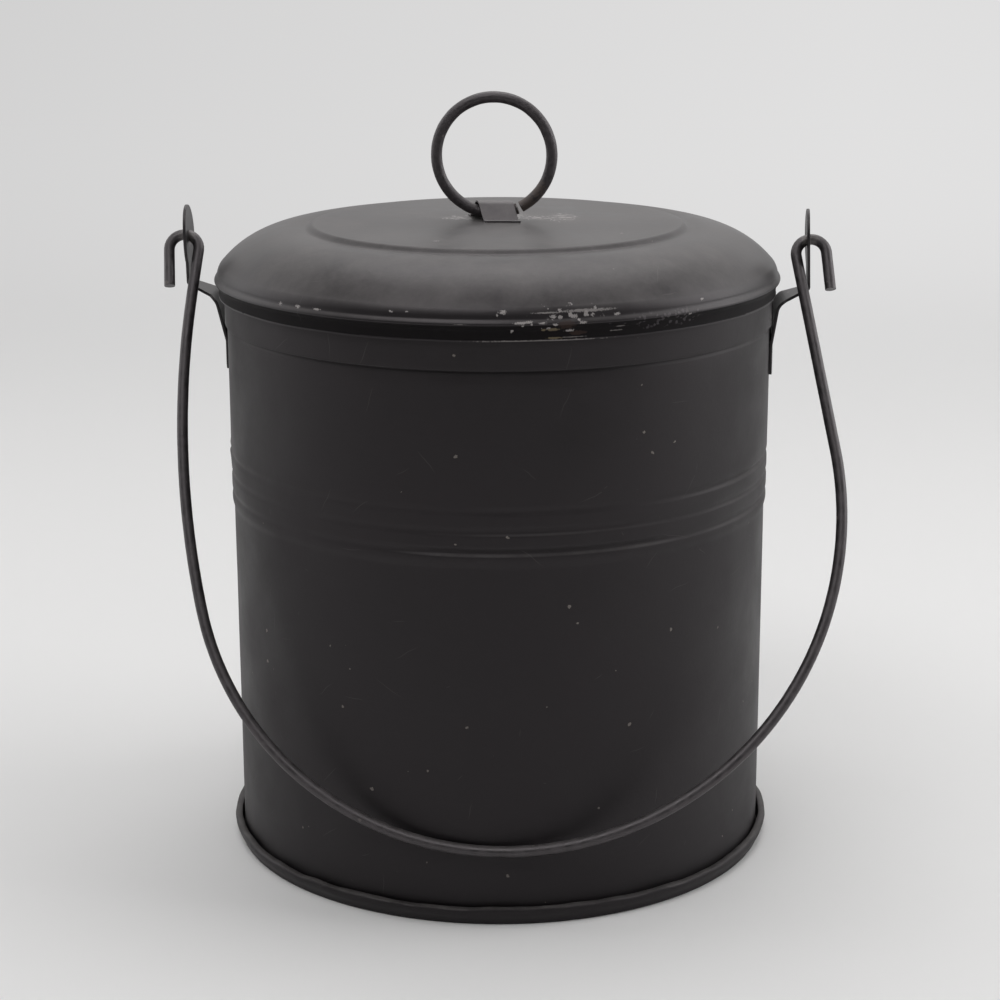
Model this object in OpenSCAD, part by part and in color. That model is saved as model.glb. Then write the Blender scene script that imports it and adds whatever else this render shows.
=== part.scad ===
// Covered pail of painted sheet metal: a rolled wall with a soldered bottom and mouth band,
// two leaf ears that carry a wire bail, and a slip-over domed lid with a standing wire ring.
// Millimetres. +Z is up, -Y is the front, and the origin is the middle of the base.

/* [Wall] */
// Outside diameter of the wall above its grooves
wall_d = 150.6; // [120:0.2:190]
// Height of the mouth above the table
pail_h = 162.6; // [140:0.2:210]
// Thickness of the sheet that the wall, bottom and lid are made of
sheet_t = 0.5; // [0.4:0.05:0.7]
// How far the wall steps in below its grooves, in radius
foot_step = 0.5; // [0:0.1:1]
// Height of the highest rolled groove above the table
groove_top_z = 112.8; // [80:0.2:125]
// Distance from one groove to the next
groove_pitch = 5.4; // [4:0.1:8]
// Number of rolled grooves
groove_count = 3; // [1:1:5]
// Depth of a groove
groove_depth = 0.55; // [0.2:0.05:0.9]
// Width of a groove
groove_w = 3.2; // [2:0.1:3.8]
// Width of the upright lapped seam
seam_w = 6; // [4:0.5:10]
// Where the seam stands, in degrees round from the right ear by way of the back
seam_angle = 135; // [110:1:160]

/* [Bottom] */
// Height of the flange that the bottom's edge is turned up into
flange_h = 4.9; // [3:0.1:8]
// Gap between the wall and the flange's foot
flange_gap = 0.6; // [0.3:0.1:1.5]
// How far the flange's lip flares out past its foot
flange_flare = 1.6; // [0:0.1:2.5]

/* [Mouth band] */
// Height of the hoop that is soldered round the mouth
band_h = 13.8; // [11:0.1:20]
// Thickness of the hoop
band_t = 0.6; // [0.4:0.05:0.9]

/* [Ears] */
// Thickness of the ears' strap
ear_t = 0.8; // [0.6:0.1:1.2]
// Width of the strap where it is soldered to the pail
ear_leg_w = 17; // [12:0.5:24]
// Length of the strap below the band
ear_leg_h = 14.2; // [8:0.2:20]
// Length of the leg's foot, which lies on the wall
ear_foot_h = 8; // [5:0.2:10]
// Degrees that the left leg leans off the wall above its foot
ear_leg_lean_left = 13.5; // [8:0.5:15]
// Degrees that the right leg leans off the wall above its foot
ear_leg_lean_right = 9; // [8:0.5:15]
// Radius of the bend from leg to arm, on its lower face
ear_bend_r = 3.5; // [2.5:0.1:4.5]
// Slope of the arm
ear_arm_rise = 23; // [10:1:35]
// Width of the leaf's neck
neck_w = 7.4; // [6:0.1:7.6]
// Greatest width of the leaf
leaf_w = 12.2; // [10:0.2:14]
// Height of the leaf's round part
leaf_h = 17.6; // [16:0.2:20]
// Reach of the left leaf outside the band
leaf_reach_left = 10.8; // [10:0.1:13]
// Reach of the right leaf outside the band
leaf_reach_right = 9.6; // [9:0.1:12]
// Degrees that the left leaf leans out at its tip
leaf_lean_left = 1; // [0:0.5:4]
// Degrees that the right leaf leans in at its tip
leaf_lean_right = 2; // [0:0.1:2.4]
// Diameter of the hole for the bail
ear_hole_d = 5; // [4.8:0.1:5.6]
// Height of the bail's pivot above the mouth
pivot_rise = 8.4; // [7:0.2:9]

/* [Bail] */
// Diameter of the bail's wire
bail_wire_d = 3.05; // [2.6:0.05:3.2]
// Height of the bail's lowest point above the table, at rest against the front
bail_low_z = 21; // [15:1:50]
// How far the belly's lowest point lies right of the middle
bail_skew = 4; // [0:0.5:8]
// Radius of the hooks, on the wire's centre line
hook_r = 4.15; // [4.1:0.05:4.4]
// How far a hook's centre lies outside its leaf
hook_out = 0.85; // [0.7:0.05:0.9]
// Degrees that the belly's round part turns on each side
belly_turn = 75; // [68:1:78]
// Degrees that the left leg leans in at its top
leg_tilt_left = 5; // [4:0.5:8]
// Degrees that the right leg leans in at its top
leg_tilt_right = 11; // [8:0.5:11.5]
// Degrees that the left hook's free end turns in
hook_splay_left = -4; // [-6:1:6]
// Degrees that the right hook's free end turns out
hook_splay_right = 6; // [-6:1:8]
// Length of the hooks' straight free ends
hook_end = 10.6; // [6:0.2:14]
// Gap left between the resting bail and the wall
bail_rest_gap = 0.2; // [0.1:0.05:0.5]

/* [Lid] */
// Play between the lid's lip and the mouth band, in radius
lid_play = 0.6; // [0.3:0.1:1]
// How far the lid lies left of the middle, within its play
lid_shift = 0.4; // [0:0.05:0.5]
// Gap between the mouth and the lid's under side where it rests
lid_rest_gap = 0.25; // [0.15:0.05:0.5]
// How far the lip tucks in under the widest line
lid_tuck = 1.1; // [0.6:0.1:2]
// Height of the widest line above the lip
skirt_h = 4.5; // [3.5:0.1:6]
// Radius of the shoulder
shoulder_r = 2.7; // [2.4:0.1:4]
// Slope of the lid where it meets the shoulder
shoulder_slope = 49; // [40:1:52]
// Diameter of the raised centre panel
panel_d = 103.6; // [80:0.2:110]
// Height of the centre panel above the widest line
lid_rise = 14.6; // [12:0.1:18]
// Height of the step at the panel's edge
panel_step = 1.4; // [0.8:0.1:2.5]
// Width of that step
panel_step_w = 1.8; // [1.4:0.1:3]
// Crown of the centre panel
panel_crown = 0.5; // [0.2:0.1:1.5]

/* [Lid ring] */
// Diameter of the ring's wire
ring_wire_d = 3.2; // [2.6:0.1:3.6]
// Outside diameter of the ring
ring_d = 34.9; // [28:0.1:42]
// How far the ring stands left of the lid's middle
ring_shift = 0.8; // [0:0.1:2]
// Angle from the ring's lowest point to its first cut end
ring_cut_angle = 24; // [22:1:40]
// Width of the gap between the cut ends
ring_gap = 1; // [0.6:0.1:2]
// Width of the clip's strap
clip_w = 8.8; // [7:0.1:10]
// Degrees that the strap is turned from square
clip_turn = 24; // [0:1:25]
// Reach of the clip's feet to each side of the wire
clip_reach = 6.6; // [5.8:0.1:9]
// Clearance round the wire in the clip
clip_play = 0.1; // [0.05:0.05:0.3]

/* [Hidden] */
$fn = 96;

black = [0.13, 0.13, 0.135];
lid_grey = [0.2, 0.2, 0.205];
wire_grey = [0.17, 0.17, 0.175];

wall_r = wall_d / 2;
foot_r = wall_r - foot_step;
groove_low_z = groove_top_z - groove_pitch * (groove_count - 1);
step_from_z = groove_low_z - groove_w / 2 - 3.4;
step_to_z = groove_low_z - groove_w / 2 - 0.6;

flange_r = foot_r + flange_gap + sheet_t;
flange_corner_r = 1.1;

band_r = wall_r + band_t;
band_low_z = pail_h - band_h;

// The bail turns about the wire's centre line, and the wire lies low in its holes
pivot_z = pail_h + pivot_rise;
ear_hole_z = pivot_z + 0.3;
leaf_mid_z = pivot_z - 0.4;
fold_z = pivot_z - 12.6;
fold_r = ear_t + 0.6;

bail_reach = foot_r + bail_wire_d / 2 + bail_rest_gap;
bail_drop = norm([bail_reach, pivot_z - bail_low_z]);
bail_lean = atan2(bail_reach, pivot_z - bail_low_z);
wire_hair = 0.08;
wire_overrun = 0.15;

// The lid is drawn about its widest line, which lies where the shoulder meets the mouth's edge
lid_r = band_r + lid_play + sheet_t + lid_tuck;
shoulder_mid_r = lid_r - shoulder_r;
lid_seat_r = band_r + lid_shift - shoulder_mid_r;
lid_z = pail_h + lid_rest_gap - sqrt(pow(shoulder_r - sheet_t, 2) - pow(lid_seat_r, 2));
lid_top_z = lid_z + lid_rise + panel_crown;

// The ring pivots halfway up the bow of its wire inside the clip
ring_r = (ring_d - ring_wire_d) / 2;
clip_half = (clip_w / 2) / cos(clip_turn) + (clip_reach / 2) * tan(clip_turn);
wire_bow = ring_r - sqrt(ring_r * ring_r - clip_half * clip_half);
clip_r = ring_wire_d / 2 + wire_bow / 2 + clip_play;
ring_pivot_z = lid_top_z + clip_r;
clip_foot = 1.4;

// ---- Points and sheet profiles ----

function unit(v) = v / norm(v);
function left_of(v) = [-v[1], v[0]];
function polar(r, a) = r * [cos(a), sin(a)];
function arc(c, r, a0, a1, n = 6) = [for (i = [0:n]) c + polar(r, a0 + (a1 - a0) * i / n)];
function reverse(p) = [for (i = [len(p) - 1:-1:0]) p[i]];

// A soft S from point a to point b, level at both ends
function s_curve(a, b, n = 5) =
    [for (i = [0:n]) [a[0] + (b[0] - a[0]) * i / n, b[1] + (a[1] - b[1]) * (1 + cos(180 * i / n)) / 2]];

// An arc from a down to b, whose slope at b is given
function dome(a, b, slope, n = 12) =
    let (
        chord_slope = atan2(a[1] - b[1], b[0] - a[0]),
        r = norm(b - a) / 2 / sin(slope - chord_slope),
        mid = b - polar(r, 90 - slope)
    )
    [for (i = [0:n]) mid + polar(r, 90 - 2 * chord_slope + slope - 2 * (slope - chord_slope) * i / n)];

// The direction a sheet's thickness takes at point i of its face, lengthened at a corner
function thickness_at(p, i) =
    let (
        before = unit(p[max(i, 1)] - p[max(i, 1) - 1]),
        after = unit(p[min(i, len(p) - 2) + 1] - p[min(i, len(p) - 2)]),
        both = unit(before + after)
    )
    left_of(both) / (both * after);

// A sheet's section: the face p, thickened by t on its left
function sheet(p, t) =
    concat(p, reverse([for (i = [0:len(p) - 1]) p[i] + t * thickness_at(p, i)]));

// ---- Wall, band and bottom ----

function groove(z) =
    [for (k = [-2:2]) [wall_r - groove_depth * (1 + cos(90 * k)) / 2, z + k * groove_w / 4]];

function wall_face() = concat(
    [[foot_r, sheet_t]],
    [for (p = s_curve([step_from_z, foot_r], [step_to_z, wall_r])) [p[1], p[0]]],
    [for (i = [groove_count - 1:-1:0], p = groove(groove_top_z - groove_pitch * i)) p],
    [[wall_r, pail_h]]
);

module shell() {
    color(black) union() {
        rotate_extrude()
            polygon(concat(wall_face(), reverse([for (p = wall_face()) p - [sheet_t, 0]])));
        seam_half = seam_w / 2 / foot_r * 180 / PI;
        rotate([0, 0, seam_angle - seam_half])
            rotate_extrude(angle = 2 * seam_half)
                translate([foot_r - sheet_t / 2, flange_h + 1])
                    square([1.5 * sheet_t, step_from_z - flange_h - 1]);
    }
}

module rim_band() {
    color(black) translate([0, 0, band_low_z])
        difference() {
            cylinder(r = band_r, h = band_h);
            translate([0, 0, -1])
                cylinder(r = wall_r, h = band_h + 2);
        }
}

module bottom() {
    // The upper, inner face from the middle out and up the flange, with its thickness outside
    inner_corner_r = flange_corner_r - sheet_t;
    face = concat(
        [[0, sheet_t]],
        arc([flange_r - flange_corner_r, flange_corner_r], inner_corner_r, -90, 0, 4),
        [[flange_r - sheet_t + flange_flare, flange_h]]
    );
    color(black) rotate_extrude()
        polygon(concat(
            face,
            [[flange_r + flange_flare, flange_h]],
            reverse(arc([flange_r - flange_corner_r, flange_corner_r], flange_corner_r, -90, 0, 4)),
            [[0, 0]]
        ));
}

// ---- Ears ----

// Centre of the fold that turns the arm up into the leaf
function fold_mid(reach) = [band_r + reach + ear_t / 2 - fold_r, fold_z];

// The leg's lower face and the arm's meet in a corner, which the bend rounds off
function bend(reach, leg_lean) =
    let (
        foot = [wall_r + ear_t, band_low_z - ear_leg_h + ear_foot_h],
        leg = polar(1, 90 - leg_lean),
        arm = polar(1, ear_arm_rise),
        to_arm = fold_mid(reach) + polar(fold_r, ear_arm_rise - 90) - foot,
        corner = foot + leg * cross(to_arm, arm) / cross(leg, arm),
        cut = ear_bend_r * tan((90 - leg_lean - ear_arm_rise) / 2)
    )
    arc(corner - cut * leg + polar(ear_bend_r, -leg_lean), ear_bend_r, 180 - leg_lean, 90 + ear_arm_rise, 8);

// Middle of the strap where the fold ends and the leaf begins; lean is positive inward
function leaf_foot(reach, lean) = fold_mid(reach) + polar(fold_r - ear_t / 2, lean);

// Distance of the leaf from the middle of the pail at the bail's hole
function leaf_x(reach, lean) =
    leaf_foot(reach, lean)[0] - (ear_hole_z - leaf_foot(reach, lean)[1]) * tan(lean);

module strap_outline() {
    // Seen from above: wide on the pail, drawn in to the neck
    wide_to = band_r + 2.5;
    narrow_from = band_r + 6.5;
    polygon([
        [wall_r - 4, -ear_leg_w / 2], [wide_to, -ear_leg_w / 2],
        [narrow_from, -neck_w / 2], [band_r + 20, -neck_w / 2],
        [band_r + 20, neck_w / 2], [narrow_from, neck_w / 2],
        [wide_to, ear_leg_w / 2], [wall_r - 4, ear_leg_w / 2]
    ]);
}

// The ear's outline: the strap's seen from above, and the leaf's seen along the bail's pivot
module ear_outline() {
    translate([0, 0, band_low_z - ear_leg_h - 1])
        linear_extrude(leaf_mid_z - band_low_z + ear_leg_h + 1)
            strap_outline();
    translate([band_r, 0, leaf_mid_z])
        rotate([90, 0, 90])
            linear_extrude(20)
                polygon([for (i = [0:35]) [leaf_w / 2 * cos(10 * i), leaf_h / 2 * sin(10 * i)]]);
}

// One strap, bent up in section, curved like the pail that it is soldered to
module ear(reach, lean, leg_lean) {
    leg_half = ear_leg_w / band_r * 180 / PI;
    leaf_len = (leaf_mid_z + leaf_h / 2 + 1 - leaf_foot(reach, lean)[1]) / cos(lean);
    face = concat(
        [[wall_r + ear_t, band_low_z - ear_leg_h], [wall_r + ear_t, band_low_z - ear_leg_h + ear_foot_h]],
        bend(reach, leg_lean),
        arc(fold_mid(reach), fold_r, ear_arm_rise - 90, lean, 6),
        [fold_mid(reach) + polar(fold_r, lean) + polar(leaf_len, 90 + lean)]
    );
    difference() {
        intersection() {
            rotate([0, 0, -leg_half])
                rotate_extrude(angle = 2 * leg_half)
                    polygon(sheet(face, ear_t));
            ear_outline();
        }
        translate([band_r, 0, ear_hole_z])
            rotate([0, 90, 0])
                cylinder(d = ear_hole_d, h = 20);
    }
}

module left_ear() {
    color(black) rotate([0, 0, 180]) ear(leaf_reach_left, -leaf_lean_left, ear_leg_lean_left);
}

module right_ear() {
    color(black) ear(leaf_reach_right, leaf_lean_right, ear_leg_lean_right);
}

// ---- Bail ----

// Where a half's round belly ends and its wider bow begins
function belly_end(low_x, belly_r) =
    [low_x + belly_r * sin(belly_turn), -bail_drop + belly_r * (1 - cos(belly_turn))];

// Radius of the bow and length of the straight leg that join belly to hook without a kink
function bow_and_leg(gap, tilt) =
    let (
        kx = cos(tilt) - sin(belly_turn),
        kz = cos(belly_turn) + sin(tilt),
        det = kx * cos(tilt) + kz * sin(tilt)
    )
    [(gap[0] * cos(tilt) + gap[1] * sin(tilt)) / det, (kx * gap[1] - kz * gap[0]) / det];

// The wire's stretches are full and slim by turns, by a hair, and a slim one runs a little way
// into its neighbours, so that they join cleanly into one piece
function stretch_d(slim) = bail_wire_d - (slim ? wire_hair : 0);
function overrun(slim) = slim ? wire_overrun : 0;

// Wire bent round c in the XZ plane, from angle a0 to a1
module bent_wire(c, r, a0, a1, slim) {
    over = overrun(slim) / r * 180 / PI;
    translate([c[0], 0, c[1]])
        rotate([90, 0, 0])
            rotate([0, 0, a0 - over])
                rotate_extrude(angle = a1 - a0 + 2 * over)
                    translate([r, 0])
                        circle(d = stretch_d(slim), $fn = 48);
}

// Straight wire from p in the XZ plane, at angle a from +X
module straight_wire(p, a, length, slim) {
    over = overrun(slim);
    translate([p[0], 0, p[1]])
        rotate([0, 90 - a, 0])
            translate([0, 0, -over])
                cylinder(d = stretch_d(slim), h = length + 2 * over, $fn = 48);
}

// One half, outward along +X from the belly's lowest point, with the pivot at z = 0
module bail_half(low_x, seat, tilt, splay, slim) {
    belly_r = seat + low_x;
    hook_mid = [seat, -hook_r];
    hook_start = hook_mid + polar(hook_r, 180 + tilt);
    end = belly_end(low_x, belly_r);
    fit = bow_and_leg(hook_start - end, tilt);
    bow_mid = end + polar(fit[0], belly_turn + 90);
    bent_wire([low_x, belly_r - bail_drop], belly_r, -90, belly_turn - 90, slim);
    bent_wire(bow_mid, fit[0], belly_turn - 90, tilt, !slim);
    straight_wire(bow_mid + polar(fit[0], tilt), 90 + tilt, fit[1], slim);
    bent_wire(hook_mid, hook_r, splay, 180 + tilt, !slim);
    straight_wire(hook_mid + polar(hook_r, splay), splay - 90, hook_end, slim);
}

module bail() {
    seat_left = leaf_x(leaf_reach_left, -leaf_lean_left) + hook_out;
    seat_right = leaf_x(leaf_reach_right, leaf_lean_right) + hook_out;
    color(wire_grey) translate([0, 0, pivot_z])
        rotate([-bail_lean, 0, 0])
            union() {
                bail_half(bail_skew, seat_right, leg_tilt_right, hook_splay_right, false);
                rotate([0, 0, 180])
                    bail_half(-bail_skew, seat_left, leg_tilt_left, hook_splay_left, true);
            }
}

// ---- Lid, clip and ring ----

// The lid's upper face, from its middle out to the lip, about its widest line
function lid_face() =
    let (
        panel_r = panel_d / 2,
        flat_r = panel_r - panel_step_w / 2,
        crown_r = (flat_r * flat_r + panel_crown * panel_crown) / (2 * panel_crown),
        crown_a = asin(flat_r / crown_r),
        shoulder_mid = [shoulder_mid_r, 0],
        shoulder_start = shoulder_mid + polar(shoulder_r, 90 - shoulder_slope),
        step_foot = [flat_r + panel_step_w, lid_rise - panel_step],
        skirt_r = (lid_tuck * lid_tuck + skirt_h * skirt_h) / (2 * lid_tuck)
    )
    concat(
        [for (i = [0:3]) [0, lid_rise + panel_crown - crown_r] + polar(crown_r, 90 - crown_a * i / 4)],
        s_curve([flat_r, lid_rise], step_foot),
        [for (i = [1:12]) dome(step_foot, shoulder_start, shoulder_slope)[i]],
        [for (i = [1:8]) arc(shoulder_mid, shoulder_r, 90 - shoulder_slope, 0, 8)[i]],
        [for (i = [1:5]) arc([lid_r - skirt_r, 0], skirt_r, 0, -asin(skirt_h / skirt_r), 5)[i]]
    );

module lid() {
    color(lid_grey) translate([-lid_shift, 0, lid_z])
        rotate_extrude()
            polygon([for (p = sheet(reverse(lid_face()), sheet_t)) [max(p[0], 0), p[1]]]);
}

// The clip's inner face, front to back over the wire, about the ring's pivot
function clip_face() =
    let (
        bend = [clip_foot - clip_reach, -clip_r],
        touch = acos(clip_r / norm(bend)),
        up = atan2(bend[1], bend[0]) + 360 - touch
    )
    concat(
        [[-clip_reach, -clip_r], bend],
        arc([0, 0], clip_r, up, 180 - up, 12),
        [[-bend[0], -clip_r], [clip_reach, -clip_r]]
    );

module ring_clip() {
    color(lid_grey) translate([-lid_shift - ring_shift, 0, ring_pivot_z])
        intersection() {
            rotate([90, 0, 90])
                linear_extrude(4 * clip_w, center = true)
                    polygon(sheet(clip_face(), sheet_t));
            rotate([0, 0, clip_turn])
                cube([clip_w, 3 * clip_reach, 4 * clip_r], center = true);
        }
}

module lift_ring() {
    gap_angle = ring_gap / ring_r * 180 / PI;
    color(wire_grey)
        translate([-lid_shift - ring_shift, 0, ring_pivot_z + ring_r - wire_bow / 2])
            rotate([90, 0, 0])
                rotate([0, 0, ring_cut_angle + gap_angle - 90])
                    rotate_extrude(angle = 360 - gap_angle)
                        translate([ring_r, 0])
                            circle(d = ring_wire_d, $fn = 48);
}

shell();
rim_band();
bottom();
left_ear();
right_ear();
bail();
lid();
ring_clip();
lift_ring();
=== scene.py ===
import math

import bmesh
import bpy
from mathutils import Matrix, Vector, geometry


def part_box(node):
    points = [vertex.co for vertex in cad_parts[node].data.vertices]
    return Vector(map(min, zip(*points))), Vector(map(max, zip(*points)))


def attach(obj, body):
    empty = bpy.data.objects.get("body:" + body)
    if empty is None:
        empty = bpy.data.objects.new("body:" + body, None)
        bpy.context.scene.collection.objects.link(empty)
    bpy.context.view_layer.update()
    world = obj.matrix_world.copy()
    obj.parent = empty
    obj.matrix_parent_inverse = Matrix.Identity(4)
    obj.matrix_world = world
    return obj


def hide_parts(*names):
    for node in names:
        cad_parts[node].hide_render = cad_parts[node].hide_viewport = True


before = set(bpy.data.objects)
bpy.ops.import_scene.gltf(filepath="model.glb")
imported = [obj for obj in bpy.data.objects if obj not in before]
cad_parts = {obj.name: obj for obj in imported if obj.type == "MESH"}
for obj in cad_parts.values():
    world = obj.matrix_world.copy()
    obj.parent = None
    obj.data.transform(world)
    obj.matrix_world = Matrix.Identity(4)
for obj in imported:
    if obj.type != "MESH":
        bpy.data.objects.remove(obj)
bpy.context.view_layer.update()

MM = 0.001


# ---- Wall ----
# The wall is one sheet of tinplate rolled into a drum, lapped and soldered up the back left.
# Three grooves are rolled round its middle, and below them it steps in a little. It is painted
# black inside and out by brush.

def add(tree, kind, feeds=None, **settings):
    """A node with its settings made and its inputs fed by sockets or plain values."""
    node = tree.nodes.new(kind)
    for name, value in settings.items():
        setattr(node, name, value)
    for name, value in (feeds or {}).items():
        if isinstance(value, bpy.types.NodeSocket):
            tree.links.new(value, node.inputs[name])
        else:
            node.inputs[name].default_value = value
    return node


def sums(tree, operation, *values):
    return add(tree, "ShaderNodeMath", dict(enumerate(values)), operation=operation).outputs[0]


def vector_sums(tree, operation, *values):
    node = add(tree, "ShaderNodeVectorMath", dict(enumerate(values)), operation=operation)
    return node.outputs["Value" if operation == "LENGTH" else "Vector"]


def spot_in_mm(tree):
    spot = tree.nodes.new("ShaderNodeTexCoord").outputs["Object"]
    return vector_sums(tree, "MULTIPLY", spot, (1000, 1000, 1000))


def new_group(name, kind, takes, gives):
    """A node group with its named sockets, and the ends that its nodes hang between."""
    tree = bpy.data.node_groups.new(name, kind)
    for side, sockets in (("INPUT", takes), ("OUTPUT", gives)):
        for label, (socket_type, value) in sockets.items():
            socket = tree.interface.new_socket(label, in_out=side, socket_type=socket_type)
            if value is not None:
                socket.default_value = value
    return tree, tree.nodes.new("NodeGroupInput").outputs, tree.nodes.new("NodeGroupOutput").inputs


def linked(name, mesh):
    piece = bpy.data.objects.new(name, mesh)
    bpy.context.scene.collection.objects.link(piece)
    return piece


def made_by(tree, name, rough, sizes):
    """The plain mesh that a Geometry Nodes tree makes of a rough mesh, as an object."""
    piece = linked(name, rough)
    maker = piece.modifiers.new("maker", "NODES")
    maker.node_group = tree
    for item in tree.interface.items_tree:
        if item.in_out == "INPUT" and item.name in sizes:
            maker[item.identifier] = sizes[item.name]
    graph = bpy.context.evaluated_depsgraph_get()
    made = bpy.data.meshes.new_from_object(piece.evaluated_get(graph))
    piece.modifiers.remove(maker)
    piece.data = made
    made.set_sharp_from_angle(angle=math.radians(35))
    return piece


def section_mesh(name, points, closed):
    """A sheet's section, radius and height in mm, as the edges that the lathe tree turns."""
    count = len(points)
    edges = [(i, i + 1) for i in range(count - 1)] + ([(count - 1, 0)] if closed else [])
    rough = bpy.data.meshes.new(name)
    rough.from_pydata([(r * MM - HUB, -z * MM, 0) for r, z in points], edges, [])
    return rough


# A section is turned about the pail's axis, and its free edge wanders as hand-set sheet does. HUB
# is the radius of the small circle that carries the section round
HUB = 0.001
FLOAT, INT, GEOMETRY, MATERIAL = (
    "NodeSocketFloat", "NodeSocketInt", "NodeSocketGeometry", "NodeSocketMaterial")
turned_sheet, takes, gives = new_group(
    "Turned sheet", "GeometryNodeTree",
    {"Section": (GEOMETRY, None), "Sides": (INT, 256), "Wander": (FLOAT, 0.0),
     "Lift": (FLOAT, 0.0), "Wander Size": (FLOAT, 0.04), "Steady Height": (FLOAT, 0.0),
     "Free Height": (FLOAT, 0.001), "Seed": (FLOAT, 0.0), "Paint": (MATERIAL, None)},
    {"Piece": (GEOMETRY, None)})
section_curve = add(turned_sheet, "GeometryNodeMeshToCurve", {"Mesh": takes["Section"]})
path = add(turned_sheet, "GeometryNodeCurvePrimitiveCircle",
           {"Resolution": takes["Sides"], "Radius": HUB}, mode="RADIUS")
path = add(turned_sheet, "GeometryNodeSetCurveNormal", {"Curve": path.outputs["Curve"]},
           mode="Z_UP")
turned = add(turned_sheet, "GeometryNodeCurveToMesh",
             {"Curve": path.outputs[0], "Profile Curve": section_curve.outputs[0]})
welded = add(turned_sheet, "GeometryNodeMergeByDistance",
             {"Geometry": turned.outputs[0], "Distance": 0.000002})
place = turned_sheet.nodes.new("GeometryNodeInputPosition").outputs[0]
height = add(turned_sheet, "ShaderNodeSeparateXYZ", {"Vector": place}).outputs["Z"]
freedom = add(turned_sheet, "ShaderNodeMapRange",
              {"Value": height, "From Min": takes["Steady Height"],
               "From Max": takes["Free Height"]}).outputs["Result"]
outward = vector_sums(turned_sheet, "MULTIPLY", place, (1, 1, 0))
outward = vector_sums(turned_sheet, "NORMALIZE", outward)
spacing = sums(turned_sheet, "DIVIDE", 1.0, takes["Wander Size"])
shifts = []
for direction, amount, turn in ((outward, takes["Wander"], 0.0), ((0, 0, 1), takes["Lift"], 7.3)):
    noise = add(turned_sheet, "ShaderNodeTexNoise",
                {"Vector": place, "W": sums(turned_sheet, "ADD", takes["Seed"], turn),
                 "Scale": spacing, "Detail": 1.0}, noise_dimensions="4D").outputs[0]
    swing = sums(turned_sheet, "MULTIPLY_ADD", noise, 2.0, -1.0)
    swing = sums(turned_sheet, "MULTIPLY", sums(turned_sheet, "MULTIPLY", swing, amount), freedom)
    shift = add(turned_sheet, "ShaderNodeVectorMath", {0: direction}, operation="SCALE")
    turned_sheet.links.new(swing, shift.inputs["Scale"])
    shifts.append(shift.outputs[0])
moved = add(turned_sheet, "GeometryNodeSetPosition",
            {"Geometry": welded.outputs[0],
             "Offset": vector_sums(turned_sheet, "ADD", *shifts)})
smooth = add(turned_sheet, "GeometryNodeSetShadeSmooth", {"Geometry": moved.outputs[0]})
real = add(turned_sheet, "GeometryNodeRealizeInstances", {"Geometry": smooth.outputs[0]})
painted = add(turned_sheet, "GeometryNodeSetMaterial",
              {"Geometry": real.outputs[0], "Material": takes["Paint"]})
turned_sheet.links.new(painted.outputs[0], gives["Piece"])

# Brush marks and the orange-peel skin of the paint, and slow changes of tone over it
VECTOR = "NodeSocketVector"
brushed_coat, takes, gives = new_group(
    "Brushed coat", "ShaderNodeTree",
    {"Stroke": (VECTOR, (1.0, 1.0, 1.0)), "Peel": (FLOAT, 1.1), "Cloud": (FLOAT, 28.0)},
    {"Height": (FLOAT, None), "Tone": (FLOAT, None)})
spot = spot_in_mm(brushed_coat)
peel = add(brushed_coat, "ShaderNodeTexNoise",
           {"Vector": spot, "Scale": sums(brushed_coat, "DIVIDE", 1.0, takes["Peel"]),
            "Detail": 2.0})
stroke = add(brushed_coat, "ShaderNodeTexNoise",
             {"Vector": vector_sums(brushed_coat, "MULTIPLY", spot, takes["Stroke"]),
              "Scale": 1.0, "Detail": 3.0, "Roughness": 0.6})
cloud = add(brushed_coat, "ShaderNodeTexNoise",
            {"Vector": spot, "Scale": sums(brushed_coat, "DIVIDE", 1.0, takes["Cloud"]),
             "Detail": 4.0, "Roughness": 0.6})
height = sums(brushed_coat, "MULTIPLY_ADD", peel.outputs[0], 0.35,
              sums(brushed_coat, "MULTIPLY", stroke.outputs[0], 0.65))
brushed_coat.links.new(height, gives["Height"])
brushed_coat.links.new(cloud.outputs[0], gives["Tone"])

# Small light specks where the paint has lifted, thinly strewn
specks, takes, gives = new_group(
    "Specks", "ShaderNodeTree",
    {"Spacing": (FLOAT, 9.0), "Size": (FLOAT, 0.5), "Share": (FLOAT, 0.5), "Seed": (FLOAT, 0.0)},
    {"Mask": (FLOAT, None)})
spot = spot_in_mm(specks)
wobble = add(specks, "ShaderNodeTexNoise", {"Vector": spot, "Scale": 1.7, "Detail": 2.0}).outputs[1]
spot = vector_sums(specks, "MULTIPLY_ADD", wobble, (0.8, 0.8, 0.8), spot)
cells = add(specks, "ShaderNodeTexVoronoi",
            {"Vector": spot, "W": takes["Seed"],
             "Scale": sums(specks, "DIVIDE", 1.0, takes["Spacing"])}, voronoi_dimensions="4D")
lot = add(specks, "ShaderNodeSeparateColor", {"Color": cells.outputs["Color"]})
reach = sums(specks, "MULTIPLY", sums(specks, "POWER", lot.outputs[0], 2.0),
             sums(specks, "DIVIDE", takes["Size"], takes["Spacing"]))
inside = sums(specks, "LESS_THAN", cells.outputs["Distance"], reach)
chosen = sums(specks, "LESS_THAN", lot.outputs[1], takes["Share"])
specks.links.new(sums(specks, "MULTIPLY", inside, chosen), gives["Mask"])

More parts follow.
